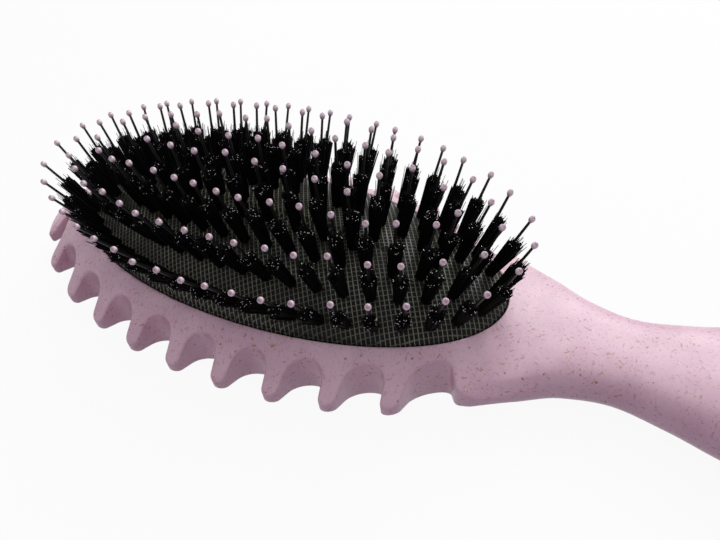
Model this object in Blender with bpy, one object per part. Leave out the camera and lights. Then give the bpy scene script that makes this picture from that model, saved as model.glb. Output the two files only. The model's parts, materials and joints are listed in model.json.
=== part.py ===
"""Defining styling brush: an oval cushion brush whose head has a row of teeth along each side.

The brush lies on its back, bristles up. Lengths are in metres. Sections are worked out about the middle
of the bristle pad, and an empty carries the whole brush to its place, with the origin under the middle of
its bounding box. The pad's outline is an ellipse. What lies on the pad is placed by an angle round that
ellipse and by a distance in from its edge.
"""

from math import acos, asin, atan2, copysign, cos, hypot, pi, sin, sqrt

import bmesh
import bpy
from mathutils import Vector

CLEARANCE = 0.0003  # gap between pieces that touch

# Head outline
PAD_HALF_LENGTH = 0.058
PAD_HALF_WIDTH = 0.0251
BAND_AT_ENDS = 0.006  # from the pad's edge to the foot of the notches
BAND_AT_SIDES = 0.0042
TOOTH_AT_ENDS = 0.0075  # from the foot of the notches to the tips
TOOTH_AT_SIDES = 0.0082
HEAD_SHIFT = -0.0025  # the teeth's outline is centred nearer the nose than the pad

# Teeth and notches, counted from the shoulder to the nose
TOOTH_COUNT = 10
SHOULDER_INSET = 0.0025  # from the pad's end at the handle
SHOULDER_TOOTH_GAP = 0.0137  # from the shoulder to the next tooth
NOSE_TOOTH_GAP = 0.0096  # between the two teeth at the nose
NOSE_TOOTH_INSET = 0.00425  # from the nose
TOOTH_TIP_RADIUS = 0.0019
SHOULDER_RADIUS = 0.0036
NOTCH_RADIUS = 0.0042
FLANK_SHARE = 0.97  # share of half a pitch that a tip and a notch may fill
EDGE_ROUND = 0.0008

# Head heights, above the surface that the brush lies on
RIM_HEIGHT = 0.0165
TIP_UPPER_HEIGHT = 0.0095
TIP_LOWER_HEIGHT = 0.0066
RIM_SHELF = 0.0008  # flat strip round the mouth of the recess
SLOPE_POWER = 1.1
BACK_FLAT = 0.45  # share of the half width that is flat on the back
BACK_POWER = 1.3
NOSE_LIFT_LENGTH = 0.044
NOSE_LIFT_POWER = 2.2

# Handle sections: distance from the pad's end, half width, underside and top
HANDLE_SECTIONS = [
    (0.0070, 0.0170, 0.0008, 0.0163),
    (0.0160, 0.0121, 0.0016, 0.0156),
    (0.0260, 0.0102, 0.0019, 0.0153),
    (0.0370, 0.0119, 0.0010, 0.0166),
    (0.0500, 0.0152, 0.0000, 0.0186),
    (0.0640, 0.0168, 0.0000, 0.0193),
    (0.0800, 0.0156, 0.0000, 0.0184),
    (0.0940, 0.0136, 0.0012, 0.0162),
    (0.1040, 0.0118, 0.0028, 0.0140),
]
HANDLE_ROUND_LENGTH = 0.022  # the handle's end is rounded over this length
BLEND_START_INSET = 0.012  # the head's lens shape turns into the handle's round one from here, inside
BLEND_END_OFFSET = 0.014  # the pad's end, to here, past it
BLEND_RIM_SHARE = 3  # the top blends in over this part of the slope from the pad
HANDLE_FULLNESS = 2.2
HANDLE_STEP = 0.0055
HANDLE_STEP_GROWTH = 1.15
HANDLE_END_STEPS = 6
HANDLE_END_ANGLE = 87 * pi / 180  # the last section stands this far round the end's quarter turn
NOSE_STEPS = 5
NOSE_FIRST_ANGLE = 0.06  # of the first section from the nose, round the outline
ROUNDING_LIMIT = 0.4  # of the half width, for the rounding of the edge
INNER_LIMITS = (0.45, 0.9)  # of the section's point over the rim, as shares of its half width
BACK_SHARES = (0.3, 0.65)  # of the way from the edge to the flat, for points of the back
TOP_ANGLES = (0, 30, 62, 84)  # of the handle's points from its middle, on top and below
BACK_ANGLES = (84, 66, 45, 24, 0)

# Recess in the head, and the pad's bead that snaps under its lip
LIP_THICKNESS = 0.0019
BEAD_HEIGHT = 0.0022
BEAD_OVERHANG = 0.0010
LEDGE_WIDTH = 0.0028
BEAD_WIDTH = 0.0022
CHAMBER_FLOOR = 0.0055

# Pad
DOME_HEIGHT = 0.0110
DOME_POWER = 0.85
PAD_THICKNESS = 0.0026
PAD_FLANK = 0.0065  # the pad is thicker this far in from its edge
UNDERSIDE_SHARE = 0.4  # of the way from there to the middle, for a loop of the underside

# Bristle rings: name, way in from the outer ring to the pad's middle, tufts, lengths of their backing
OUTER_RING_INSET = 0.0032
BRISTLE_RINGS = [
    ("outer", 0, 42, 4),
    ("second", 0.27, 36, 4),
    ("third", 0.575, 30, 2),
    ("centre", 0.872, 16, 1),
]
CENTRE_RING = 3
CENTRE_RING_HALF_LENGTH = 0.024  # of its straight sides
RING_END_ANGLE = 50 * pi / 180  # the centre ring is round up to this angle and straight past it
RING_STEPS = 1440  # that a ring is measured in
BACKING_THICKNESS = 0.0008
PIN_BACKING_WIDTH = 0.0012
TUFT_BACKING_WIDTH = 0.0010

# Pins and bristles
PIN_HEIGHT = 0.0180  # to the middle of the ball tip
PIN_RADIUS = 0.0004
PIN_TAPER = 0.9
BALL_RADIUS = 0.0010
BALL_LOW_SHARE = 0.3  # its widest level, below its middle
BALL_TOP_SHARE = 1.1
BRISTLE_HEIGHT = 0.0122
BRISTLE_WIDTH = 0.0019
BRISTLE_DEPTH = 0.0006
BRISTLE_SPREAD = 1.4  # size at the top against the root
BRISTLE_SPLAY = 0.05
BRISTLE_SLANT = 0.5  # of a lock's top, as a share of its width
ROOT_DEPTH = 0.0003
LEAN_LENGTHWISE = 0.52
LEAN_SIDEWAYS = 0.72
LENGTHWISE_POWER = 1.9
SIDEWAYS_POWER = 1.3
LEAN_LEAST_DISTANCE = 0.02  # from the pad's middle, as a share of its half size

# Angles of a quarter of the pad, in degrees, closer together where its outline turns most
QUARTER = [0, 8, 18, 31, 48, 68, 90]
ANGLE_STEP = 0.01  # in radians, for directions along a ring

# Finding a place on the slope by halving: the furthest share looked at, and the steps
SLOPE_REACH = 1.3
HALVINGS = 30

# Sizes that follow from those above
ROOT_HALF_LENGTH = PAD_HALF_LENGTH + BAND_AT_ENDS
ROOT_HALF_WIDTH = PAD_HALF_WIDTH + BAND_AT_SIDES
HEAD_HALF_LENGTH = ROOT_HALF_LENGTH + TOOTH_AT_ENDS
HEAD_HALF_WIDTH = ROOT_HALF_WIDTH + TOOTH_AT_SIDES
NOSE_X = HEAD_SHIFT - HEAD_HALF_LENGTH
SHOULDER_X = PAD_HALF_LENGTH - SHOULDER_INSET
LAST_TOOTH_X = SHOULDER_X - SHOULDER_TOOTH_GAP
NOSE_TOOTH_X = NOSE_X + NOSE_TOOTH_INSET
TOOTH_PITCH = (LAST_TOOTH_X - NOSE_TOOTH_X - NOSE_TOOTH_GAP) / (TOOTH_COUNT - 2)
BLEND_START_X = PAD_HALF_LENGTH - BLEND_START_INSET
BLEND_END_X = PAD_HALF_LENGTH + BLEND_END_OFFSET
HANDLE = [(PAD_HALF_LENGTH + way, width, low, high) for way, width, low, high in HANDLE_SECTIONS]
HANDLE_END_X = HANDLE[-1][0]
MIDDLE_X = (NOSE_X + HANDLE_END_X) / 2
LIP_UNDERSIDE = RIM_HEIGHT - LIP_THICKNESS
BEAD_TOP = LIP_UNDERSIDE - CLEARANCE
BEAD_BOTTOM = BEAD_TOP - BEAD_HEIGHT
LEDGE_HEIGHT = BEAD_BOTTOM - CLEARANCE
RAIL_INNER = PIN_BACKING_WIDTH / 2 + CLEARANCE
RAIL_OUTER = RAIL_INNER + TUFT_BACKING_WIDTH
RAIL_MIDDLE = (RAIL_INNER + RAIL_OUTER) / 2
GROOVE_HALF = RAIL_OUTER + CLEARANCE
GROOVE_DEPTH = BACKING_THICKNESS + CLEARANCE


def mix(a, b, t):
    return a + (b - a) * t


def ease(t):
    """0 below 0, 1 above 1, and a smooth step between."""
    t = min(max(t, 0), 1)
    return t * t * (3 - 2 * t)


def curve_through(points, x):
    """Height at x of a smooth curve through (x, height) points, with no overshoot between them."""
    slopes = [(b[1] - a[1]) / (b[0] - a[0]) for a, b in zip(points, points[1:])]
    tangents = [slopes[0]]
    for before, after in zip(slopes, slopes[1:]):
        tangents.append(0 if before * after <= 0 else 2 * before * after / (before + after))
    tangents.append(slopes[-1])
    k = 0
    while k < len(slopes) - 1 and x > points[k + 1][0]:
        k += 1
    (x0, y0), (x1, y1) = points[k], points[k + 1]
    step = x1 - x0
    t = min(max((x - x0) / step, 0), 1)
    rise = step * (tangents[k] * t * (1 - t) ** 2 - tangents[k + 1] * t * t * (1 - t))
    return mix(y0, y1, t * t * (3 - 2 * t)) + rise


def ellipse_width(x, centre, half_length, half_width):
    across = (x - centre) / half_length
    return half_width * sqrt(max(0, 1 - across * across))


# Handle body


def end_rounding(x):
    """Share of the handle's section that is left near its rounded end."""
    t = max(0, (x - HANDLE_END_X) / HANDLE_ROUND_LENGTH + 1)
    return sqrt(max(0, 1 - t**4))


def outline_width(x):
    """Half width of the brush at x, over the tips of the teeth."""
    if x <= SHOULDER_X:
        return ellipse_width(x, HEAD_SHIFT, HEAD_HALF_LENGTH, HEAD_HALF_WIDTH)
    shoulder = (SHOULDER_X, outline_width(SHOULDER_X))
    return curve_through([shoulder] + [(s[0], s[1]) for s in HANDLE], x) * end_rounding(x)


def spine_heights(x):
    """Underside and top along the middle of the brush."""
    low = [(BLEND_START_X, 0)] + [(s[0], s[2]) for s in HANDLE]
    shelf = PAD_HALF_LENGTH + RIM_SHELF
    high = [(BLEND_START_X, RIM_HEIGHT), (shelf, RIM_HEIGHT)] + [(s[0], s[3]) for s in HANDLE]
    bottom = curve_through(low, x)
    top = curve_through(high, x)
    middle = (bottom + top) / 2
    return mix(middle, bottom, end_rounding(x)), mix(middle, top, end_rounding(x))


def slope_share(x, y):
    """How far down the slope from the recess's shelf, at 0, to the tooth tips, at 1, a point lies."""
    low, high = 0, SLOPE_REACH
    for _ in range(HALVINGS):
        t = (low + high) / 2
        length = mix(PAD_HALF_LENGTH + RIM_SHELF, HEAD_HALF_LENGTH, t)
        width = mix(PAD_HALF_WIDTH + RIM_SHELF, HEAD_HALF_WIDTH, t)
        outside = hypot((x - HEAD_SHIFT * t) / length, y / width) > 1
        low, high = (t, high) if outside else (low, t)
    return low


def roundness(x, y):
    """Height over the middle of a handle section, as a share of its half thickness."""
    across = min(1, abs(y) / outline_width(x))
    return (1 - across**HANDLE_FULLNESS) ** (1 / HANDLE_FULLNESS)


def blend_share(x):
    """0 where the head has its lens shape, 1 where the handle is round."""
    return ease((x - BLEND_START_X) / (BLEND_END_X - BLEND_START_X))


def top_height(x, y):
    share = slope_share(x, y)
    lens = mix(RIM_HEIGHT, TIP_UPPER_HEIGHT, share**SLOPE_POWER)
    low, high = spine_heights(x)
    handle = mix((low + high) / 2, high, roundness(x, y))
    return mix(lens, handle, blend_share(x) * ease(share * BLEND_RIM_SHARE))


def back_height(x, y):
    lift = max(0, 1 - (x - NOSE_X) / NOSE_LIFT_LENGTH)
    spine = TIP_LOWER_HEIGHT * lift**NOSE_LIFT_POWER
    across = max(0, (abs(y) / outline_width(x) - BACK_FLAT) / (1 - BACK_FLAT))
    lens = mix(spine, TIP_LOWER_HEIGHT, across**BACK_POWER)
    low, high = spine_heights(x)
    handle = mix((low + high) / 2, low, roundness(x, y))
    return mix(lens, handle, blend_share(x))


def tooth_profile(tip_radius, tip_steps=2, foot_steps=3):
    """Half a pitch from tooth to notch: (way along the pitch, depth), each from 0 to 1."""
    half = TOOTH_PITCH / 2
    limit = min(1, FLANK_SHARE * half / (tip_radius + NOTCH_RADIUS))
    tip, foot = tip_radius * limit, NOTCH_RADIUS * limit
    drop = TOOTH_AT_SIDES - tip - foot
    turn = acos((tip + foot) / hypot(half, drop)) - atan2(drop, half)
    points = []
    for k in range(tip_steps + 1):
        angle = mix(pi / 2, turn, k / tip_steps)
        points.append((tip * cos(angle), tip - tip * sin(angle)))
    for k in range(foot_steps + 1):
        angle = mix(turn, pi / 2, k / foot_steps)
        points.append((half - foot * cos(angle), tip + drop + foot * sin(angle)))
    return [(x / half, y / TOOTH_AT_SIDES) for x, y in points]


def stations():
    """Places along the brush, each with the depth of the notch there, from nose to handle's end."""
    teeth = [LAST_TOOTH_X - TOOTH_PITCH * k for k in range(TOOTH_COUNT - 1)]
    teeth = [NOSE_TOOTH_X] + teeth[::-1] + [SHOULDER_X]
    found = []
    last = asin(outline_width(NOSE_TOOTH_X) / HEAD_HALF_WIDTH)
    for k in range(NOSE_STEPS):
        angle = mix(NOSE_FIRST_ANGLE, last, k / NOSE_STEPS)
        found.append((HEAD_SHIFT - HEAD_HALF_LENGTH * cos(angle), 0))
    profile = tooth_profile(TOOTH_TIP_RADIUS)
    for here, there in zip(teeth, teeth[1:]):
        notch = (here + there) / 2
        rising = tooth_profile(SHOULDER_RADIUS, 3) if there == SHOULDER_X else profile
        found += [(mix(here, notch, way), depth) for way, depth in profile]
        found += [(mix(there, notch, way), depth) for way, depth in reversed(rising[1:-1])]
    found.append((SHOULDER_X, 0))
    straight_end = HANDLE_END_X - HANDLE_ROUND_LENGTH
    count = round((straight_end - SHOULDER_X) / HANDLE_STEP)
    for k in range(1, count + 1):
        found.append((mix(SHOULDER_X, straight_end, (k / count) ** HANDLE_STEP_GROWTH), 0))
    for k in range(1, HANDLE_END_STEPS + 1):
        angle = HANDLE_END_ANGLE * k / HANDLE_END_STEPS
        found.append((straight_end + HANDLE_ROUND_LENGTH * sin(angle), 0))
    return found


def round_share(angle):
    """Share of the half width at which a handle section stands this many degrees round from its middle."""
    return sin(angle * pi / 180) ** (2 / HANDLE_FULLNESS)


def loft(loops, closed_ends=True):
    """A mesh through closed loops of points, each with the same number of them."""
    mesh = bmesh.new()
    rows = [[mesh.verts.new(point) for point in loop] for loop in loops]
    for near, far in zip(rows, rows[1:]):
        for k in range(len(near)):
            mesh.faces.new((near[k - 1], near[k], far[k], far[k - 1]))
    if closed_ends:
        mesh.faces.new(rows[0])
        mesh.faces.new(rows[-1])
    bmesh.ops.recalc_face_normals(mesh, faces=mesh.faces)
    return mesh


def body_sections():
    """Closed sections across the brush, from the nose to the end of the handle."""
    places = []
    for x, depth in stations():
        foot = ellipse_width(x, HEAD_SHIFT, ROOT_HALF_LENGTH, ROOT_HALF_WIDTH) if depth else 0
        places.append((x, mix(outline_width(x), foot, depth)))
    sections = []
    for k, (x, y) in enumerate(places):
        before, after = places[max(k - 1, 0)], places[min(k + 1, len(places) - 1)]
        along, out = after[0] - before[0], after[1] - before[1]
        rounding = min(EDGE_ROUND, ROUNDING_LIMIT * y)
        turn = rounding / hypot(along, out)
        edge_x, edge_y = x + out * turn, y - along * turn
        shelf = ellipse_width(x, 0, PAD_HALF_LENGTH + RIM_SHELF, PAD_HALF_WIDTH + RIM_SHELF)
        inner = min(max(shelf / edge_y, INNER_LIMITS[0]), INNER_LIMITS[1])
        flat = BACK_FLAT * outline_width(x) / edge_y
        round_part = blend_share(x)
        side = []
        for share, angle in zip((0, inner, (1 + inner) / 2, 1), TOP_ANGLES):
            share = mix(share, min(1, round_share(angle)), round_part)
            point = (mix(x, edge_x, share), edge_y * share)
            side.append((*point, top_height(*point)))
        upper = side[-1][2] - rounding
        lower = back_height(edge_x, edge_y) + rounding
        middle = (upper + lower) / 2
        side.append((x, y, max(upper, middle)))
        side.append((x, y, min(lower, middle - rounding / 2)))
        shares = (1, mix(1, flat, BACK_SHARES[0]), mix(1, flat, BACK_SHARES[1]), flat, 0)
        for share, angle in zip(shares, BACK_ANGLES):
            share = mix(share, round_share(angle), round_part)
            point = (mix(x, edge_x, share), edge_y * share)
            side.append((*point, back_height(*point)))
        mirrored = [(px, -py, pz) for px, py, pz in reversed(side[1:-1])]
        sections.append(side + mirrored)
    return sections


def round_angles():
    """The shared angles round the pad, in radians."""
    half = QUARTER + [180 - step for step in reversed(QUARTER[:-1])]
    return [step * pi / 180 for step in half + [180 + step for step in half[1:-1]]]


def pad_loop(inset, height):
    """A loop round the pad at a distance in from its edge and one height."""
    length, width = PAD_HALF_LENGTH - inset, PAD_HALF_WIDTH - inset
    return [(length * cos(a), width * sin(a), height) for a in round_angles()]


def recess_cutter():
    over = RIM_HEIGHT + RIM_HEIGHT
    groove = -BEAD_OVERHANG - CLEARANCE
    levels = [
        (-CLEARANCE, over),
        (-CLEARANCE, LIP_UNDERSIDE),
        (groove, LIP_UNDERSIDE),
        (groove, LEDGE_HEIGHT),
        (LEDGE_WIDTH, LEDGE_HEIGHT),
        (LEDGE_WIDTH, CHAMBER_FLOOR),
    ]
    return loft([pad_loop(inset, height) for inset, height in levels])


# Pad


def dome_height(x, y):
    inside = max(0, 1 - (x / PAD_HALF_LENGTH) ** 2 - (y / PAD_HALF_WIDTH) ** 2)
    return RIM_HEIGHT + DOME_HEIGHT * inside**DOME_POWER


def ring_inset(share):
    """Distance in from the pad's edge of a ring this share of the way in from the outer one."""
    return mix(OUTER_RING_INSET, PAD_HALF_WIDTH, share)


def column(ring, angle, side):
    """Point of a ring's band at an angle, side metres outside the ring's middle line.

    The last ring, the centre one, has straight sides and round ends.
    """
    inset = ring_inset(BRISTLE_RINGS[ring][1])
    if ring < CENTRE_RING:
        x = (PAD_HALF_LENGTH - inset + side) * cos(angle)
        y = (PAD_HALF_WIDTH - inset + side) * sin(angle)
    else:
        turn = min(max(sin(angle) / sin(RING_END_ANGLE), -1), 1)
        reach = min(max(cos(angle) / cos(RING_END_ANGLE), -1), 1)
        radius = PAD_HALF_WIDTH - inset + side
        x = CENTRE_RING_HALF_LENGTH * reach + copysign(radius * sqrt(1 - turn * turn), reach)
        y = radius * turn
    return Vector((x, y, dome_height(x, y)))


def on_ring(ring, angle, side):
    """Point at any angle, on the straight line between the shared angles next to it."""
    angles = round_angles() + [2 * pi]
    turn = angle % (2 * pi)
    k = 0
    while angles[k + 1] <= turn:
        k += 1
    t = (turn - angles[k]) / (angles[k + 1] - angles[k])
    return column(ring, angles[k], side).lerp(column(ring, angles[k + 1], side), t)


def lowered(points, drop):
    return [(p[0], p[1], p[2] - drop) for p in points]


def ring_loop(ring, side, drop=0):
    return lowered([column(ring, a, side) for a in round_angles()], drop)


def cap_across(mesh, row):
    """Closes a long narrow loop with faces from one side to the other."""
    count = len(row)
    half = count // 2
    for k in range(half):
        corners = [row[k], row[k + 1], row[(count - k - 1) % count], row[(count - k) % count]]
        mesh.faces.new(list(dict.fromkeys(corners)))


def underside_loop(inset):
    """A loop of the pad's underside at a distance in from its edge."""
    return [(x, y, dome_height(x, y) - PAD_THICKNESS) for x, y, _ in pad_loop(inset, 0)]


def cushion_mesh():
    under = [
        ring_loop(CENTRE_RING, GROOVE_HALF, PAD_THICKNESS),
        underside_loop(mix(PAD_FLANK, PAD_HALF_WIDTH, UNDERSIDE_SHARE)),
        underside_loop(PAD_FLANK),
    ]
    bead = [
        pad_loop(BEAD_WIDTH, BEAD_BOTTOM),
        pad_loop(-BEAD_OVERHANG, BEAD_BOTTOM),
        pad_loop(-BEAD_OVERHANG, BEAD_TOP),
        pad_loop(0, BEAD_TOP),
        pad_loop(0, RIM_HEIGHT),
    ]
    face = []
    for ring in range(len(BRISTLE_RINGS)):
        face.append(ring_loop(ring, GROOVE_HALF))
        face.append(ring_loop(ring, GROOVE_HALF, GROOVE_DEPTH))
        face.append(ring_loop(ring, -GROOVE_HALF, GROOVE_DEPTH))
        face.append(ring_loop(ring, -GROOVE_HALF))
    mesh = loft(under + bead + face, closed_ends=False)
    mesh.verts.ensure_lookup_table()
    count = len(round_angles())
    cap_across(mesh, mesh.verts[:count])
    cap_across(mesh, mesh.verts[-count:])
    bmesh.ops.recalc_face_normals(mesh, faces=mesh.faces)
    return mesh


# Pins and tufts


def tuft_angles(ring):
    """Angles of a ring's tufts, evenly spaced along it, and of the ends of its lengths of backing."""
    _, _, count, lengths = BRISTLE_RINGS[ring]
    fine = [2 * pi * k / RING_STEPS for k in range(RING_STEPS + 1)]
    way = [0]
    for a, b in zip(fine, fine[1:]):
        way.append(way[-1] + (column(ring, b, 0) - column(ring, a, 0)).length)
    places = []
    k = 0
    for half_step in range(2 * count):
        target = (half_step + 0.5) / (2 * count) * way[-1]
        while way[k + 1] < target:
            k += 1
        places.append(mix(fine[k], fine[k + 1], (target - way[k]) / (way[k + 1] - way[k])))
    tufts, gaps = places[::2], [places[-1] - 2 * pi] + places[1::2]
    cuts = [round(count * k / lengths) for k in range(lengths + 1)]
    return tufts, [gaps[cut] for cut in cuts], cuts


def lean(foot):
    """Direction of a pin that stands at a point of the pad."""
    x, y = foot[0] / PAD_HALF_LENGTH, foot[1] / PAD_HALF_WIDTH
    lengthwise = copysign(LEAN_LENGTHWISE * abs(x) ** LENGTHWISE_POWER, x)
    sideways = LEAN_SIDEWAYS * y * max(hypot(x, y), LEAN_LEAST_DISTANCE) ** (SIDEWAYS_POWER - 1)
    return Vector((lengthwise, sideways, 1)).normalized()


def backing(sheet):
    """A slice of the pad's face as thick as the backing, from a mesh of its upper side."""
    bmesh.ops.recalc_face_normals(sheet, faces=sheet.faces)
    lower = bmesh.ops.extrude_face_region(sheet, geom=sheet.faces[:])
    verts = [item for item in lower["geom"] if isinstance(item, bmesh.types.BMVert)]
    bmesh.ops.translate(sheet, verts=verts, vec=(0, 0, -BACKING_THICKNESS))
    bmesh.ops.recalc_face_normals(sheet, faces=sheet.faces)
    return sheet


def between(start, end):
    """The shared angles inside a span, with its two ends."""
    shared = [a + turn for turn in (-2 * pi, 0, 2 * pi) for a in round_angles()]
    return [start] + [a for a in shared if start + ANGLE_STEP < a < end - ANGLE_STEP] + [end]


def angle_for(ring, angle, length):
    """Angle that spans a length along a ring."""
    step = column(ring, angle + ANGLE_STEP, 0) - column(ring, angle - ANGLE_STEP, 0)
    return length * 2 * ANGLE_STEP / step.length


def pin_backing(ring, start, end):
    """Strip under the pins between two angles, inside the backing of their tufts."""
    inset = CLEARANCE * 1.5 + TUFT_BACKING_WIDTH
    span = between(start + angle_for(ring, start, inset), end - angle_for(ring, end, inset))
    sheet = bmesh.new()
    half = PIN_BACKING_WIDTH / 2
    rows = [[sheet.verts.new(on_ring(ring, a, side)) for a in span] for side in (-half, half)]
    for k in range(len(span) - 1):
        sheet.faces.new((rows[0][k], rows[0][k + 1], rows[1][k + 1], rows[1][k]))
    return backing(sheet)


def tuft_backing(ring, start, end):
    """Frame round a strip of pins: a rail on each side of them, joined past the first and last pin."""
    edge = CLEARANCE / 2
    first = start + angle_for(ring, start, edge)
    last = end - angle_for(ring, end, edge)
    first_end = first + angle_for(ring, start, TUFT_BACKING_WIDTH)
    last_start = last - angle_for(ring, end, TUFT_BACKING_WIDTH)
    span = [first] + between(first_end, last_start) + [last]
    sheet = bmesh.new()
    sides = (-RAIL_OUTER, -RAIL_INNER, RAIL_INNER, RAIL_OUTER)
    rows = [[sheet.verts.new(on_ring(ring, a, side)) for a in span] for side in sides]
    for k in range(len(span) - 1):
        ends = k in (0, len(span) - 2)
        for row in range(3):
            if row != 1 or ends:
                near, far = rows[row], rows[row + 1]
                sheet.faces.new((near[k], near[k + 1], far[k + 1], far[k]))
    return backing(sheet)


def prism(mesh, foot, axis, along, section, stages):
    """Adds the sides of a bar. Each stage is a height on the axis and a size of the section there."""
    along = (along - axis * along.dot(axis)).normalized()
    across = axis.cross(along)
    rows = []
    for height, size in stages:
        centre = foot + axis * height
        rows.append([mesh.verts.new(centre + along * u * size + across * v * size) for u, v in section])
    for near, far in zip(rows, rows[1:]):
        for k in range(len(section)):
            mesh.faces.new((near[k - 1], near[k], far[k], far[k - 1]))
    return rows


def add_pin(mesh, foot, along):
    """A three-sided pin with a ball tip, which has the second material."""
    section = [(1, 0), (-sin(pi / 6), cos(pi / 6)), (-sin(pi / 6), -cos(pi / 6))]
    stages = [
        (-ROOT_DEPTH, PIN_RADIUS),
        (PIN_HEIGHT - BALL_RADIUS, PIN_RADIUS * PIN_TAPER),
        (PIN_HEIGHT - BALL_RADIUS * BALL_LOW_SHARE, BALL_RADIUS),
    ]
    axis = lean(foot)
    rows = prism(mesh, foot, axis, along, section, stages)
    top = mesh.verts.new(foot + axis * (PIN_HEIGHT + BALL_RADIUS * BALL_TOP_SHARE))
    mesh.faces.new(rows[0])
    for k in range(len(section)):
        mesh.faces.new((rows[2][k - 1], rows[2][k], top))
    for face in {face for vert in rows[2] for face in vert.link_faces}:
        face.material_index = 1


def add_lock(mesh, foot, along, outwards):
    """A three-sided lock of bristles beside a pin, flat outside, wider and slanted at its top."""
    axis = (lean(foot) + outwards * BRISTLE_SPLAY).normalized()
    wide, deep = BRISTLE_WIDTH / 2, BRISTLE_DEPTH / 2
    if axis.cross(along).dot(outwards) < 0:
        along = -along
    section = [(wide, deep), (0, -deep), (-wide, deep)]
    rows = prism(mesh, foot, axis, along, section, [(-ROOT_DEPTH, 1), (BRISTLE_HEIGHT, BRISTLE_SPREAD)])
    mesh.faces.new(rows[0])
    mesh.faces.new(rows[1])
    rows[1][0].co += axis * BRISTLE_WIDTH * BRISTLE_SLANT


def add_tuft(pins, locks, ring, angle):
    """One pin and the two locks of bristles beside it."""
    foot = on_ring(ring, angle, 0)
    along = on_ring(ring, angle + ANGLE_STEP, 0) - on_ring(ring, angle - ANGLE_STEP, 0)
    add_pin(pins, foot, along)
    for side in (RAIL_MIDDLE, -RAIL_MIDDLE):
        point = on_ring(ring, angle, side)
        outwards = point - foot
        outwards.z = 0
        add_lock(locks, point, along, outwards.normalized())


# Objects


def material(name, colour, roughness):
    made = bpy.data.materials.new(name)
    made.use_nodes = True
    shader = made.node_tree.nodes["Principled BSDF"]
    shader.inputs["Base Color"].default_value = (*colour, 1)
    shader.inputs["Roughness"].default_value = roughness
    shader.inputs["Metallic"].default_value = 0
    return made


def add_object(name, mesh, parent, *materials):
    """An object from a mesh in the brush's frame, with its origin at its parent."""
    if parent.parent:
        bmesh.ops.translate(mesh, verts=mesh.verts, vec=-parent.location)
    data = bpy.data.meshes.new(name)
    bmesh.ops.recalc_face_normals(mesh, faces=mesh.faces)
    mesh.to_mesh(data)
    mesh.free()
    for item in materials:
        data.materials.append(item)
    made = bpy.data.objects.new(name, data)
    made.parent = parent
    bpy.context.collection.objects.link(made)
    return made


def add_empty(name, location, parent=None):
    made = bpy.data.objects.new(name, None)
    made.location = location
    made.parent = parent
    bpy.context.collection.objects.link(made)
    return made


def add_boolean(target, tool, operation):
    tool.hide_render = True
    tool.display_type = "WIRE"
    cut = target.modifiers.new(tool.name, "BOOLEAN")
    cut.operation = operation
    cut.solver = "EXACT"
    cut.object = tool


def add_bristles(name, strip, frame, pins, locks, bed, nylon, ball, bristle):
    """A strip with its pins and a frame with its locks of bristles, each joined into one solid."""
    pin_node = add_object(f"pins_{name}", strip, bed, nylon, ball)
    add_boolean(pin_node, add_object(f"cutter_pins_{name}", pins, bed, nylon, ball), "UNION")
    tuft_node = add_object(f"tufts_{name}", frame, bed, bristle)
    add_boolean(tuft_node, add_object(f"cutter_tufts_{name}", locks, bed, bristle), "UNION")


def build_body(brush):
    plastic = material("fibre_plastic", (0.78, 0.58, 0.66), 0.42)
    body = add_object("handle_body", loft(body_sections()), brush, plastic)
    add_boolean(body, add_object("cutter_recess", recess_cutter(), brush), "DIFFERENCE")


def build_pad(brush):
    add_object("cushion_pad", cushion_mesh(), brush, material("pad_rubber", (0.035, 0.037, 0.03), 0.5))


def build_bristles(brush):
    bed = add_empty("bristle_bed", (0, 0, RIM_HEIGHT), brush)
    nylon = material("pin_nylon", (0.012, 0.012, 0.013), 0.3)
    ball = material("ball_tip", (0.72, 0.5, 0.6), 0.35)
    bristle = material("bristle", (0.01, 0.009, 0.009), 0.45)
    for ring, (name, _, _, lengths) in enumerate(BRISTLE_RINGS):
        tufts, ends, cuts = tuft_angles(ring)
        for k in range(lengths):
            pins, locks = bmesh.new(), bmesh.new()
            for angle in tufts[cuts[k]:cuts[k + 1]]:
                add_tuft(pins, locks, ring, angle)
            strip = pin_backing(ring, ends[k], ends[k + 1])
            frame = tuft_backing(ring, ends[k], ends[k + 1])
            label = name if lengths == 1 else f"{name}_{k + 1}"
            add_bristles(label, strip, frame, pins, locks, bed, nylon, ball, bristle)


def main():
    for old in list(bpy.data.objects):
        bpy.data.objects.remove(old, do_unlink=True)
    brush = add_empty("brush", (-MIDDLE_X, 0, 0))
    build_body(brush)
    build_pad(brush)
    build_bristles(brush)


main()
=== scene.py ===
"""Looks of the defining styling brush, laid out as an add-on with one operator for each group of pieces.

Lengths are in metres unless a name says otherwise. Pieces are modelled about the middle of the pad and
then moved to the frame's place, so that each finished object sits at the origin.
"""

import random
from math import acos, atan, atan2, copysign, cos, hypot, pi, radians, sin, sqrt

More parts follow.
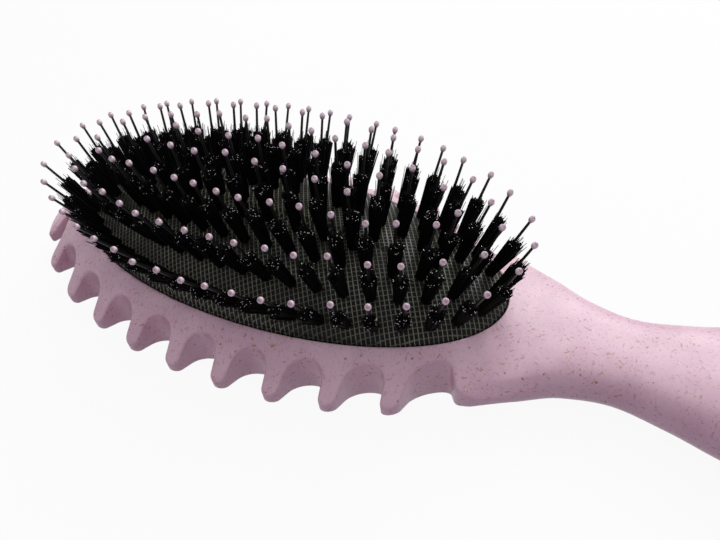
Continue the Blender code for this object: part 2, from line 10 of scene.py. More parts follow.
import bmesh
import bpy
from bpy.props import FloatProperty, FloatVectorProperty, IntProperty, PointerProperty
from mathutils import Matrix, Vector
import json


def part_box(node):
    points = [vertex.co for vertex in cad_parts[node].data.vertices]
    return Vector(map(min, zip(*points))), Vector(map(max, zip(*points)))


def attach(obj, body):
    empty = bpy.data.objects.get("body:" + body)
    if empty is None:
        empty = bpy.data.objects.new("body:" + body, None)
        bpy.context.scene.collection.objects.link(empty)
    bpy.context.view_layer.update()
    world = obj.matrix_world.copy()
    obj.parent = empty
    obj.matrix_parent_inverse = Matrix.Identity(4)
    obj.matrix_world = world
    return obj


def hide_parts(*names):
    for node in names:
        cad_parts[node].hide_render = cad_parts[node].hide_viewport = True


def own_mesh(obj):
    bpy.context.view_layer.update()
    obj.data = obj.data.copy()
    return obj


bl_info = {
    "name": "Defining styling brush",
    "version": (1, 0, 0),
    "blender": (4, 5, 0),
    "location": "3D View > Sidebar > Brush",
    "description": "Builds an oval cushion brush with a toothed head, and its studio",
    "category": "Add Mesh",
}

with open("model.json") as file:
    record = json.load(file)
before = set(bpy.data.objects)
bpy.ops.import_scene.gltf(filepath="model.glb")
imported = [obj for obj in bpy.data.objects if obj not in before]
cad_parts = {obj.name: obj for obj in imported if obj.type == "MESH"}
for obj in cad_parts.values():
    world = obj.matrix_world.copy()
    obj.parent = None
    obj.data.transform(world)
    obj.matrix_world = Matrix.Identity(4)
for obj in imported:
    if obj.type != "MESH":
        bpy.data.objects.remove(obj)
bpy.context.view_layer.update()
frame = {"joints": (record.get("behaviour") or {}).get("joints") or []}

# How far the pad's bead stands out from its edge, under the recess's lip
BEAD_OVERHANG = 0.001

# Places taken from the frame
RIM_HEIGHT = frame["joints"][0]["deforming_nodes"][0]["fixed_end_z_m"]
PAD_LOW, PAD_HIGH = (Vector(corner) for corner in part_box("cushion_pad"))
PAD_MIDDLE_X = (PAD_LOW.x + PAD_HIGH.x) / 2
PAD_HALF_LENGTH = (PAD_HIGH.x - PAD_LOW.x) / 2 - BEAD_OVERHANG
PAD_HALF_WIDTH = (PAD_HIGH.y - PAD_LOW.y) / 2 - BEAD_OVERHANG
BODY_LOW, BODY_HIGH = (Vector(corner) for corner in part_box("handle_body"))
NOSE_X = BODY_LOW.x - PAD_MIDDLE_X
HANDLE_END_X = BODY_HIGH.x - PAD_MIDDLE_X

# Head outline, as in the moulding that the frame holds
BAND_AT_ENDS = 0.006
BAND_AT_SIDES = 0.0042
TOOTH_AT_ENDS = 0.0075
TOOTH_AT_SIDES = 0.0082
HEAD_SHIFT = -0.0025
TOOTH_COUNT = 10
SHOULDER_X = PAD_HALF_LENGTH - 0.0025
LAST_TOOTH_X = SHOULDER_X - 0.0137
NOSE_TOOTH_X = NOSE_X + 0.00425
NOSE_TOOTH_GAP = 0.0096
TOOTH_PITCH = (LAST_TOOTH_X - NOSE_TOOTH_X - NOSE_TOOTH_GAP) / (TOOTH_COUNT - 2)
ROOT_HALF_LENGTH = PAD_HALF_LENGTH + BAND_AT_ENDS
ROOT_HALF_WIDTH = PAD_HALF_WIDTH + BAND_AT_SIDES
HEAD_HALF_LENGTH = ROOT_HALF_LENGTH + TOOTH_AT_ENDS
HEAD_HALF_WIDTH = ROOT_HALF_WIDTH + TOOTH_AT_SIDES

# Head heights and slopes
TIP_UPPER_HEIGHT = 0.0095
TIP_LOWER_HEIGHT = 0.0066
RIM_SHELF = 0.0008
SLOPE_POWER = 1.1
BACK_FLAT = 0.45
BACK_POWER = 1.3
NOSE_LIFT_LENGTH = 0.044
NOSE_LIFT_POWER = 2.2

# How far the corner at the last notch leans towards the handle
SHOULDER_LEAN = 0.0030

# Handle sections: distance from the pad's middle, half width, underside and top
HANDLE_SECTIONS = [
    (0.0650, 0.0170, 0.0008, 0.0163),
    (0.0740, 0.0121, 0.0016, 0.0156),
    (0.0840, 0.0102, 0.0019, 0.0153),
    (0.0950, 0.0119, 0.0010, 0.0166),
    (0.1080, 0.0152, 0.0000, 0.0186),
    (0.1220, 0.0168, 0.0000, 0.0193),
    (0.1380, 0.0156, 0.0000, 0.0184),
    (0.1520, 0.0136, 0.0012, 0.0162),
    (0.1620, 0.0118, 0.0028, 0.0140),
]
HANDLE_ROUND_LENGTH = 0.022

# Stretches over which head heights, head rows and the neck's full section give way to the handle's
HANDLE_BLEND = (0.046, 0.072)
HANDLE_ROWS = (0.052, 0.074)
NECK_ROWS = (0.100, 0.150)
HANDLE_FULLNESS = 2.2
NECK_FULLNESS = 3.0

# One over the share of the head's slope along which the handle's heights take over
SLOPE_TAKEOVER = 3

# Rounding of the teeth's flanks, as a share of the rounding at their tips
FLANK_ROUND = 0.6

# Most that the rounding may take of a section's half width and of its wall, and its least radius
ROUND_OF_WIDTH = 0.45
ROUND_OF_WALL = 0.4
LEAST_ROUND = 0.00008

# Most of half a pitch that a tooth's two roundings may take
ROUND_OF_PITCH = 0.97

# Places of the rows across a section, as shares of its half width
NARROWEST_SHELF = 0.4
WIDEST_SHELF = 0.9
WIDEST_FLAT = 0.5

# Steps of the moulding's mesh
TIP_STEPS = 6
SHOULDER_STEPS = 9
NOTCH_STEPS = 9
NOSE_STEPS = 10
NOSE_FIRST_ANGLE = 0.045
HANDLE_STEPS = 60
HANDLE_STEP_POWER = 1.15
END_STEPS = 18
END_LAST_ANGLE = 1.555
ARC_STEPS = 5
SLOPE_ROWS = 8
OVAL_POINTS = 192

# Angle in degrees over which an edge is sharp
SHARP_ANGLE = 40

# The recess's cutter
RECESS_INSET = -0.0003
RECESS_DEPTH = 0.006
CUTTER_RISE = 0.003
MOUTH_STEPS = 4

# The pad's skirt and the rows of its dome
PAD_SKIRT = 0.0035
PAD_UNDERSIDE_INSET = 0.003
PAD_EDGE_ROUND = 0.0005
PAD_EDGE_STEPS = 4
PAD_FIRST_INSET = 1.3 * PAD_EDGE_ROUND
PAD_LAST_INSET = PAD_HALF_WIDTH - 0.0006
PAD_STEPS = 40
PAD_STEP_POWER = 1.4

# Bristle rings: name, way in from the outer ring to the pad's middle, tufts, lengths of backing in the frame
RINGS = [
    ("outer", 0, 42, 4),
    ("second", 0.27, 36, 4),
    ("third", 0.575, 30, 2),
    ("centre", 0.872, 16, 1),
]
OUTER_RING_INSET = 0.0032
CENTRE_RING_HALF_LENGTH = 0.024
RING_END_ANGLE = radians(50)
RING_SAMPLES = 1440
FIRST_FOOT = 0.25

# Lean of the pins, and how much further the outer ring's tufts lean than their pins
LEAN_LENGTHWISE = 0.52
LEAN_SIDEWAYS = 0.72
LENGTHWISE_POWER = 1.9
SIDEWAYS_POWER = 1.3
TUFT_SPLAY = 1.2
PIN_UNEVENNESS = 0.025
TUFT_UNEVENNESS = 0.03

# Pins: depth in the pad, how far below the ball's middle the shaft ends, in ball radii, and the ball's
# stretch, even and growing towards the shaft
PIN_ROOT = 0.0012
BALL_OVERLAP = 0.8
BALL_STRETCH = 1.1
BALL_TAPER = 0.35

# Tufts: depth in the pad, number of different tufts, and the clumps that a tuft's outer hairs stand in,
# with the mean and spread of their rise over the tuft's height
TUFT_SINK = 0.0008
TUFT_KINDS = 5
CLUMPS = 5
CLUMP_RISE = (-0.0003, 0.0007)
CORE_RISE = 0.0003
CORE_SHARE = 0.45

# Hairs: turn from one to the next round the tuft, their spread, the strays, and the cut ends painted pale as
# a glint
GOLDEN_TURN = 2.39996
HAIR_SPREAD = (0.9, 1.12)
HAIR_UNEVENNESS = 0.00025
HAIR_ROOT = 1.2
STRAY_SHARE = 0.09
STRAY_SPREAD = 1.4
STRAY_RISE = 0.0022
STRAY_TIP = 0.6
GLINT_SHARE = 0.13

# Flecks in the plastic: the cell that may hold one, half its length and half its width in millimetres, share
# of cells that hold one, and shift of the cells
FINE_FLECKS = (0.65, 0.32, 0.10, 0.5, 0.0)
LONG_FLECKS = (1.5, 0.62, 0.15, 0.42, 13.1)
RUST_FLECKS = (2.4, 0.46, 0.27, 0.42, 31.7)
SPECKS = (2.6, 0.25, 0.19, 0.35, 57.3)

# Colours beside those that a user would change
CLOUD_COLOUR = (0.75, 0.505, 0.60)
DUST_COLOUR = (0.50, 0.31, 0.32)
FINE_FLECK_COLOUR = (0.46, 0.22, 0.13)
RUST_COLOUR = (0.47, 0.22, 0.085)
# Colour of the threads in random darker patches
PATCHY_THREAD_COLOUR = (0.07, 0.068, 0.048)
# Painted shade on the underside of a ball tip, where it meets the pin
BALL_UNDERSIDE_SHADE_COLOUR = (0.22, 0.15, 0.16)
BALL_STAIN_COLOUR = (0.55, 0.40, 0.45)
# Pale colour of some hairs' cut ends, a painted glint
HAIR_GLINT_COLOUR = (0.8, 0.79, 0.77)

# Sizes of the patterns in millimetres
WOBBLE_SIZE = 0.4
WOBBLE_REACH = 0.55
CLOUD_SIZE = 9
DUST_SIZE = 0.7
GRAIN_SIZE = 0.35
DARK_PATCH_SIZE = 15
STREAK_SIZE = 0.4
STAIN_SIZE = 1.5

# The studio
LAMP_SIZE = 0.45
LAMP_TARGET = (0, 0, 0.02)
KEY_PLACE = (0.07, 0.52, 0.45)
TOP_PLACE = (-0.03, 0.01, 0.55)
TENT_COLOUR = (1.0, 0.89, 1.04)
FLOOR_DROP = 0.0002
FLOOR_COLOUR = (0.9, 0.9, 0.9)
FLOOR_BOUNCE_COLOUR = (0.37, 0.28, 0.385)
FLOOR_WHITENESS = 0.93
CAMERA_PLACE = (0.03258, -0.09200, 0.12838)
CAMERA_TURN = (0.7517, 0.08951, 0.43586)
CAMERA_LENS_MM = 32.5
CAMERA_SENSOR_MM = 36


# Numbers and curves


def mix(a, b, t):
    return a + (b - a) * t


def ease(t):
    """0 below 0, 1 above 1, and a smooth step between."""
    t = min(max(t, 0), 1)
    return t * t * (3 - 2 * t)


def ease_over(stretch, x):
    """0 before a stretch of the brush, 1 after it, and a smooth step along it."""
    start, end = stretch
    return ease((x - start) / (end - start))


def curve_through(points, x):
    """Height at x of a smooth curve through (x, height) points, with no overshoot between them."""
    slopes = [(b[1] - a[1]) / (b[0] - a[0]) for a, b in zip(points, points[1:])]
    tangents = [slopes[0]]
    for before, after in zip(slopes, slopes[1:]):
        tangents.append(0 if before * after <= 0 else 2 * before * after / (before + after))
    tangents.append(slopes[-1])
    k = 0
    while k < len(slopes) - 1 and x > points[k + 1][0]:
        k += 1
    (x0, y0), (x1, y1) = points[k], points[k + 1]
    step = x1 - x0
    t = min(max((x - x0) / step, 0), 1)
    rise = step * (tangents[k] * t * (1 - t) ** 2 - tangents[k + 1] * t * t * (1 - t))
    return mix(y0, y1, t * t * (3 - 2 * t)) + rise


def ellipse_width(x, centre, half_length, half_width):
    across = (x - centre) / half_length
    return half_width * sqrt(max(0, 1 - across * across))


# Shader expressions


class Socket:
    """An output of a shader node that can be added, multiplied and compared like a number."""

    def __init__(self, finish, socket):
        self.finish = finish
        self.socket = socket

    def maths(self, operation, *others):
        return self.finish.node("ShaderNodeMath", {"operation": operation}, [self, *others])

    def reflected(self, operation, other):
        """The same with the other number first."""
        return self.finish.node("ShaderNodeMath", {"operation": operation}, [other, self])

    def __add__(self, other):
        return self.maths("ADD", other)

    def __sub__(self, other):
        return self.maths("SUBTRACT", other)

    def __rsub__(self, other):
        return self.reflected("SUBTRACT", other)

    def __mul__(self, other):
        return self.maths("MULTIPLY", other)

    def __truediv__(self, other):
        return self.maths("DIVIDE", other)

    def __rtruediv__(self, other):
        return self.reflected("DIVIDE", other)

    def __lt__(self, other):
        return self.maths("LESS_THAN", other)

    def __gt__(self, other):
        return self.maths("GREATER_THAN", other)

    def __abs__(self):
        return self.maths("ABSOLUTE")

    __radd__ = __add__
    __rmul__ = __mul__

    def part(self, axis):
        """One component of a vector or colour."""
        return self.finish.node("ShaderNodeSeparateXYZ", {}, [self], "XYZ".index(axis))

    def fade(self, start, end):
        """Smooth step from 0 at start to 1 at end."""
        settings = {"interpolation_type": "SMOOTHSTEP"}
        return self.finish.node("ShaderNodeMapRange", settings, [self, start, end, 0, 1])


class Finish:
    """A material under construction, with a principled surface, or a world's light."""

    def __init__(self, name, world=None):
        self.material = world or bpy.data.materials.new(name)
        self.material.use_nodes = True
        self.tree = self.material.node_tree
        self.surface = self.tree.nodes.get("Principled BSDF")

    def node(self, kind, settings, values=(), output=0):
        """A node of any kind. Settings come first, then the values or links of its sockets."""
        made = self.tree.nodes.new(kind)
        for name, value in settings.items():
            setattr(made, name, value)
        pairs = values.items() if isinstance(values, dict) else enumerate(values)
        for key, value in pairs:
            self.put(made.inputs[key], value)
        return Socket(self, made.outputs[output])

    def put(self, socket, value):
        """Links a socket, or sets its number, vector or colour."""
        if isinstance(value, Socket):
            self.tree.links.new(value.socket, socket)
        elif isinstance(value, (tuple, list)) and len(value) == 3 and socket.type == "RGBA":
            socket.default_value = (*value, 1)
        else:
            socket.default_value = value

    def set(self, **values):
        """Sets sockets of the surface, with spaces for the underscores of their names."""
        for name, value in values.items():
            self.put(self.surface.inputs[name.replace("_", " ")], value)

    def blend(self, mask, under, over):
        """A colour that goes from under to over as the mask goes from 0 to 1."""
        factor, first, second, colour_result = 0, 6, 7, 2
        values = {factor: mask, first: under, second: over}
        return self.node("ShaderNodeMix", {"data_type": "RGBA"}, values, colour_result)

    def seen(self):
        """1 for what the camera sees, also in glossy and clear surfaces, and 0 for what lights the object."""
        camera, glossy, clear = (
            self.node("ShaderNodeLightPath", {}, (), f"Is {kind} Ray")
            for kind in ("Camera", "Glossy", "Transmission")
        )
        return camera.maths("MAXIMUM", glossy.maths("MAXIMUM", clear))

    def place_mm(self):
        """Place on the object, in millimetres."""
        place = self.node("ShaderNodeTexCoord", {}, (), "Object")
        return self.scaled(place, 1000)

    def skin_mm(self):
        """Place on the piece's own flat map, in millimetres."""
        place = self.node("ShaderNodeUVMap", {"uv_map": "skin"})
        return self.scaled(place, 1000)

    def scaled(self, vector, scale):
        return self.node("ShaderNodeVectorMath", {"operation": "SCALE"}, {0: vector, "Scale": scale})

    def moved(self, vector, other, operation="ADD"):
        return self.node("ShaderNodeVectorMath", {"operation": operation}, [vector, other])

    def turned(self, vector, angle):
        values = {"Vector": vector, "Angle": angle}
        return self.node("ShaderNodeVectorRotate", {"rotation_type": "Z_AXIS"}, values)

    def noise(self, place, size, detail=2, roughness=0.5, output=0):
        values = {"Vector": place, "Scale": 1 / size, "Detail": detail, "Roughness": roughness}
        return self.node("ShaderNodeTexNoise", {}, values, output)

    def bump(self, height, distance, strength):
        values = {"Height": height, "Distance": distance, "Strength": strength}
        return self.node("ShaderNodeBump", {}, values)


# Mesh helpers


def bridge_along(loops):
    """A closed mesh, made by extruding one loop of points through all the others."""
    mesh = bmesh.new()
    loop = [mesh.verts.new(point) for point in loops[0]]
    edges = [mesh.edges.new((loop[k - 1], loop[k])) for k in range(len(loop))]
    bmesh.ops.contextual_create(mesh, geom=edges)
    for places in loops[1:]:
        made = bmesh.ops.extrude_edge_only(mesh, edges=edges)["geom"]
        fresh = {item for item in made if isinstance(item, bmesh.types.BMVert)}
        loop = [
            next(edge.other_vert(vert) for edge in vert.link_edges if edge.other_vert(vert) in fresh)
            for vert in loop
        ]
        for vert, place in zip(loop, places):
            vert.co = place
        edges = [mesh.edges.get((loop[k - 1], loop[k])) for k in range(len(loop))]
    bmesh.ops.contextual_create(mesh, geom=edges)
    bmesh.ops.recalc_face_normals(mesh, faces=mesh.faces)
    return mesh


def finish_object(name, mesh, finish, body, sharp_angle=SHARP_ANGLE):
    """An object from a mesh about the pad's middle, moved to the pad's place."""
    bmesh.ops.translate(mesh, verts=mesh.verts, vec=(PAD_MIDDLE_X, 0, 0))
    data = bpy.data.meshes.new(name)
    mesh.to_mesh(data)
    mesh.free()
    data.materials.append(finish.material)
    data.shade_smooth()
    data.set_sharp_from_angle(angle=radians(sharp_angle))
    made = bpy.data.objects.new(name, data)
    bpy.context.collection.objects.link(made)
    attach(made, body)
    return made


def map_skin(made):
    """Gives a piece a flat map in metres, seen along the axis that each face looks along most."""
    side_shift, end_shift = 0.3, 0.5
    skin = made.data.uv_layers.new(name="skin")
    for face in made.data.polygons:
        nx, ny, nz = (abs(part) for part in face.normal)
        for loop in face.loop_indices:
            x, y, z = made.data.vertices[made.data.loops[loop].vertex_index].co
            if nz >= max(nx, ny):
                skin.data[loop].uv = (x, y)
            elif ny >= nx:
                skin.data[loop].uv = (x, z + side_shift)
            else:
                skin.data[loop].uv = (y + end_shift, z + side_shift)


def cut_away(target, cutter_mesh):
    """Cuts a mesh out of an object and keeps the result as its own mesh."""
    data = bpy.data.meshes.new("cutter")
    cutter_mesh.to_mesh(data)
    cutter_mesh.free()
    cutter = bpy.data.objects.new("cutter", data)
    bpy.context.collection.objects.link(cutter)
    cut = target.modifiers.new("cut", "BOOLEAN")
    cut.operation = "DIFFERENCE"
    cut.solver = "EXACT"
    cut.object = cutter
    graph = bpy.context.evaluated_depsgraph_get()
    result = bpy.data.meshes.new_from_object(target.evaluated_get(graph))
    target.modifiers.clear()
    target.data = result
    bpy.data.objects.remove(cutter, do_unlink=True)


def turned_to(place, axis, spin=0.0):
    """Matrix that puts a shape made along Z at a place, along an axis."""
    turn = axis.to_track_quat("Z", "Y").to_matrix().to_4x4()
    return Matrix.Translation(place) @ turn @ Matrix.Rotation(spin, 4, "Z")


# Sizes and colours that a user would change


class MouldingSizes(bpy.types.PropertyGroup):
    """Sizes and colours of the head and handle moulding."""

    edge_round: FloatProperty(
        name="Edge rounding", description="Radius of the rounding round the outline",
        default=0.00125, unit="LENGTH",
    )
    tip_radius: FloatProperty(
        name="Tooth tip radius", description="Radius of a tooth's tip, from above",
        default=0.0019, unit="LENGTH",
    )
    shoulder_radius: FloatProperty(
        name="Shoulder radius", description="Radius of the corner at the last notch",
        default=0.0068, unit="LENGTH",
    )
    notch_radius: FloatProperty(
        name="Notch radius", description="Radius of a notch's foot, from above",
        default=0.0042, unit="LENGTH",
    )
    lip_round: FloatProperty(
        name="Lip rounding", description="Radius of the recess's mouth", default=0.00035, unit="LENGTH"
    )
    colour: FloatVectorProperty(
        name="Plastic", description="Colour of the moulding", default=(0.82, 0.58, 0.66), subtype="COLOR"
    )
    fibre_colour: FloatVectorProperty(
        name="Fibres", description="Colour of the short fibres in it",
        default=(0.45, 0.23, 0.11), subtype="COLOR",
    )
    speck_colour: FloatVectorProperty(
        name="Specks", description="Colour of the dark specks in it",
        default=(0.14, 0.06, 0.04), subtype="COLOR",
    )


class PadSizes(bpy.types.PropertyGroup):
    """Sizes and colours of the domed pad."""

    dome_height: FloatProperty(
        name="Dome height", description="Height of the pad over the rim", default=0.011, unit="LENGTH"
    )
    dome_power: FloatProperty(
        name="Dome fullness", description="Below 1 the dome's flank is steep and its top flat", default=0.85
    )
    weave_pitch: FloatProperty(
        name="Weave pitch", description="Distance between threads of the pad's texture",
        default=0.00102, unit="LENGTH",
    )
    weave_turn: FloatProperty(
        name="Weave angle", description="Turn of the texture", default=radians(31), subtype="ANGLE"
    )
    # Partly the threads' own olive tint, partly painted highlight on the raised threads
    colour: FloatVectorProperty(
        name="Threads", description="Colour of the pad's raised threads",
        default=(0.24, 0.243, 0.17), subtype="COLOR",
    )
    pit_colour: FloatVectorProperty(
        name="Pits", description="Colour between the threads",
        default=(0.002, 0.002, 0.0015), subtype="COLOR",
    )


class BristleSizes(bpy.types.PropertyGroup):
    """Sizes and colours of the pins and tufts."""

    pin_height: FloatProperty(
        name="Pin height", description="From the pad to the middle of the ball tip",
        default=0.0180, unit="LENGTH",
    )
    pin_radius: FloatProperty(name="Pin radius", description="At the pad", default=0.00042, unit="LENGTH")
    pin_top_radius: FloatProperty(
        name="Pin top radius", description="At the ball", default=0.00030, unit="LENGTH"
    )
    ball_radius: FloatProperty(
        name="Ball radius", description="Of a ball tip", default=0.00071, unit="LENGTH"
    )
    tuft_height: FloatProperty(
        name="Tuft height", description="Mean height of a tuft", default=0.0117, unit="LENGTH"
    )
    tuft_root: FloatProperty(name="Tuft root radius", description="At the pad", default=0.0011, unit="LENGTH")
    tuft_top: FloatProperty(name="Tuft top radius", description="At its top", default=0.0017, unit="LENGTH")
    hairs: IntProperty(name="Hairs", description="Hairs in each tuft", default=135)
    hair_radius: FloatProperty(name="Hair radius", description="Of one hair", default=0.00012, unit="LENGTH")
    ball_colour: FloatVectorProperty(
        name="Ball tips", description="Colour of the ball tips", default=(0.95, 0.80, 0.85), subtype="COLOR"
    )
    # Painted shade at the very top of a ball tip
    crown_shade_colour: FloatVectorProperty(
        name="Ball crowns", description="Colour of the very top of a ball tip",
        default=(0.42, 0.25, 0.33), subtype="COLOR",
    )
    pin_colour: FloatVectorProperty(
        name="Pins", description="Colour of the pins", default=(0.003, 0.003, 0.003), subtype="COLOR"
    )
    hair_colour: FloatVectorProperty(
        name="Hairs", description="Colour of the bristles",
        default=(0.0015, 0.0013, 0.0013), subtype="COLOR",
    )


class StudioSizes(bpy.types.PropertyGroup):
    """Light and floor."""

    key_power: FloatProperty(
        name="Key light", description="Power of the lamp behind", default=3.0, unit="POWER"
    )
    top_power: FloatProperty(
        name="Top light", description="Power of the lamp overhead", default=0.45, unit="POWER"
    )
    tent_strength: FloatProperty(name="Tent", description="Strength of the light all round", default=0.33)
    floor_half: FloatProperty(name="Floor", description="Half the floor's side", default=2.0, unit="LENGTH")


# The moulding's shape


def end_rounding(x):
    """Share of the handle's section that is left near its rounded end."""
    t = max(0, (x - HANDLE_END_X) / HANDLE_ROUND_LENGTH + 1)
    return sqrt(max(0, 1 - t**4))


def outline_width(x):
    """Half width of the brush at x, over the tips of the teeth."""
    if x <= SHOULDER_X:
        return ellipse_width(x, HEAD_SHIFT, HEAD_HALF_LENGTH, HEAD_HALF_WIDTH)
    shoulder = (SHOULDER_X, outline_width(SHOULDER_X))
    return curve_through([shoulder] + [(s[0], s[1]) for s in HANDLE_SECTIONS], x) * end_rounding(x)


def share_of_width(x, y):
    """How far out a point lies, from 0 at the middle to 1 at the outline."""
    return abs(y) / max(outline_width(x), 1e-6)


def spine_heights(x):
    """Underside and top along the middle of the brush."""
    start = HANDLE_BLEND[0]
    low = [(start, 0)] + [(s[0], s[2]) for s in HANDLE_SECTIONS]
    shelf = PAD_HALF_LENGTH + RIM_SHELF
    high = [(start, RIM_HEIGHT), (shelf, RIM_HEIGHT)] + [(s[0], s[3]) for s in HANDLE_SECTIONS]
    bottom = curve_through(low, x)
    top = curve_through(high, x)
    middle = (bottom + top) / 2
    return mix(middle, bottom, end_rounding(x)), mix(middle, top, end_rounding(x))


def slope_share(x, y):
    """How far down the slope from the recess's shelf, at 0, to the tooth tips, at 1, a point lies."""
    low, high = 0, 1.3
    halvings = 24
    for _ in range(halvings):
        t = (low + high) / 2
        length = mix(PAD_HALF_LENGTH + RIM_SHELF, HEAD_HALF_LENGTH, t)
        width = mix(PAD_HALF_WIDTH + RIM_SHELF, HEAD_HALF_WIDTH, t)
        outside = hypot((x - HEAD_SHIFT * t) / length, y / width) > 1
        low, high = (t, high) if outside else (low, t)
    return low


def fullness(x):
    """Power of a section's upper half, a superellipse. The neck is boxier than the handle."""
    return mix(NECK_FULLNESS, HANDLE_FULLNESS, ease_over(NECK_ROWS, x))


def roundness(x, y, power):
    """Height over the middle of a handle section, as a share of its half thickness."""
    across = min(1, share_of_width(x, y))
    return (1 - across**power) ** (1 / power)


def top_height(x, y):
    share = slope_share(x, y)
    head = mix(RIM_HEIGHT, TIP_UPPER_HEIGHT, share**SLOPE_POWER)
    low, high = spine_heights(x)
    handle = mix((low + high) / 2, high, roundness(x, y, fullness(x)))
    return mix(head, handle, ease_over(HANDLE_BLEND, x) * ease(share * SLOPE_TAKEOVER))


def back_height(x, y):
    lift = max(0, 1 - (x - NOSE_X) / NOSE_LIFT_LENGTH)
    spine = TIP_LOWER_HEIGHT * min(lift, 1) ** NOSE_LIFT_POWER
    across = max(0, (share_of_width(x, y) - BACK_FLAT) / (1 - BACK_FLAT))
    head = mix(spine, TIP_LOWER_HEIGHT, min(across, 1) ** BACK_POWER)
    low, high = spine_heights(x)
    handle = mix((low + high) / 2, low, roundness(x, y, HANDLE_FULLNESS))
    return mix(head, handle, ease_over(HANDLE_BLEND, x))


def tooth_profile(half, tip_radius, notch_radius, tip_steps):
    """Half a pitch from tooth to notch: (way along the pitch, depth), each from 0 to 1."""
    limit = min(1, ROUND_OF_PITCH * half / (tip_radius + notch_radius))
    tip, foot = tip_radius * limit, notch_radius * limit
    drop = TOOTH_AT_SIDES - tip - foot
    turn = acos((tip + foot) / hypot(half, drop)) - atan2(drop, half)
    points = []
    for k in range(tip_steps + 1):
        angle = mix(pi / 2, turn, k / tip_steps)
        points.append((tip * cos(angle), tip - tip * sin(angle)))
    for k in range(NOTCH_STEPS + 1):
        angle = mix(turn, pi / 2, k / NOTCH_STEPS)
        points.append((half - foot * cos(angle), tip + drop + foot * sin(angle)))
    return [(x / half, y / TOOTH_AT_SIDES) for x, y in points]


def stations(sizes):
    """Places along the brush, each with the depth of the notch there, from nose to handle's end."""
    teeth = [LAST_TOOTH_X - TOOTH_PITCH * k for k in range(TOOTH_COUNT - 1)]
    teeth = [NOSE_TOOTH_X] + teeth[::-1] + [SHOULDER_X]
    found = []
    last_angle = acos((HEAD_SHIFT - teeth[0]) / HEAD_HALF_LENGTH)
    for k in range(NOSE_STEPS):
        angle = mix(NOSE_FIRST_ANGLE, last_angle, k / NOSE_STEPS)
        found.append((HEAD_SHIFT - HEAD_HALF_LENGTH * cos(angle), 0))
    corner_x = SHOULDER_X + SHOULDER_LEAN
    corner_half = (SHOULDER_X - teeth[-2]) / 2 + SHOULDER_LEAN
    plain = tooth_profile(TOOTH_PITCH / 2, sizes.tip_radius, sizes.notch_radius, TIP_STEPS)
    corner = tooth_profile(corner_half, sizes.shoulder_radius, sizes.notch_radius, SHOULDER_STEPS)
    for here, there in zip(teeth, teeth[1:]):
        notch = (here + there) / 2
        rising = plain
        if there == SHOULDER_X:
            rising, there = corner, corner_x
        found += [(mix(here, notch, way), depth) for way, depth in plain]
        found += [(mix(there, notch, way), depth) for way, depth in reversed(rising[1:-1])]
    found.append((corner_x, 0))
    straight_end = HANDLE_END_X - HANDLE_ROUND_LENGTH
    for k in range(1, HANDLE_STEPS + 1):
        found.append((mix(corner_x, straight_end, (k / HANDLE_STEPS) ** HANDLE_STEP_POWER), 0))
    for k in range(1, END_STEPS + 1):
        found.append((straight_end + HANDLE_ROUND_LENGTH * sin(k / END_STEPS * END_LAST_ANGLE), 0))
    return found


def head_half_section(x, y, normal, sizes):
    """Half a section, from the middle of the top round the edge to the middle of the back."""
    wall = top_height(x, y) - back_height(x, y)
    rounding = sizes.edge_round * mix(1, FLANK_ROUND, abs(normal[0]))
    radius = max(min(rounding, y * ROUND_OF_WIDTH, ROUND_OF_WALL * wall), LEAST_ROUND)
    points = []

    def inward(distance):
        return x + normal[0] * distance, y + normal[1] * distance

    def slope(height):
        probe = 0.4
        near, far = inward(radius), inward(radius * probe)
        return atan((height(*near) - height(*far)) / (radius * (1 - probe)))

    def rows(edge, shares, height):
        for share in shares:
            point = (mix(x, edge[0], share), edge[1] * share)
            points.append((*point, height(*point)))

    def arc(angles, centre, sign):
        for step in range(ARC_STEPS + 1):
            angle = mix(*angles, step / ARC_STEPS)
            points.append((*inward(radius * (1 - sin(angle))), centre + sign * radius * cos(angle)))

    down, up = slope(top_height), -slope(back_height)
    top_edge, back_edge = inward(radius * (1 - sin(down))), inward(radius * (1 - sin(up)))
    shelf = ellipse_width(x, 0, PAD_HALF_LENGTH + RIM_SHELF, PAD_HALF_WIDTH + RIM_SHELF)
    inner = min(max(shelf / top_edge[1], NARROWEST_SHELF), WIDEST_SHELF)
    flat = min(BACK_FLAT * outline_width(x) / top_edge[1], WIDEST_FLAT)
    slope_shares = [mix(inner, 1, t / SLOPE_ROWS) for t in range(SLOPE_ROWS)]
    back_shares = [mix(1, flat, t / SLOPE_ROWS) for t in range(1, SLOPE_ROWS + 1)]
    rows(top_edge, [0, inner / 3, inner * 2 / 3] + slope_shares, top_height)
    arc((down, pi / 2), top_height(*top_edge) - radius * cos(down), 1)
    arc((pi / 2, up), back_height(*back_edge) + radius * cos(up), -1)
    rows(back_edge, back_shares + [flat / 2, 0], back_height)
    return points


def handle_half_section(x, y):
    """The same for the handle, with its rows spread evenly round a superellipse."""
    rows = SLOPE_ROWS + 3 + ARC_STEPS
    turns = [t / (rows + 0.5) * pi / 2 for t in range(rows + 1)]
    upper = [sin(turn) ** (2 / fullness(x)) for turn in turns]
    lower = [sin(turn) ** (2 / HANDLE_FULLNESS) for turn in reversed(turns)]
    top = [(x, y * share, top_height(x, y * share)) for share in upper]
    return top + [(x, y * share, back_height(x, y * share)) for share in lower]


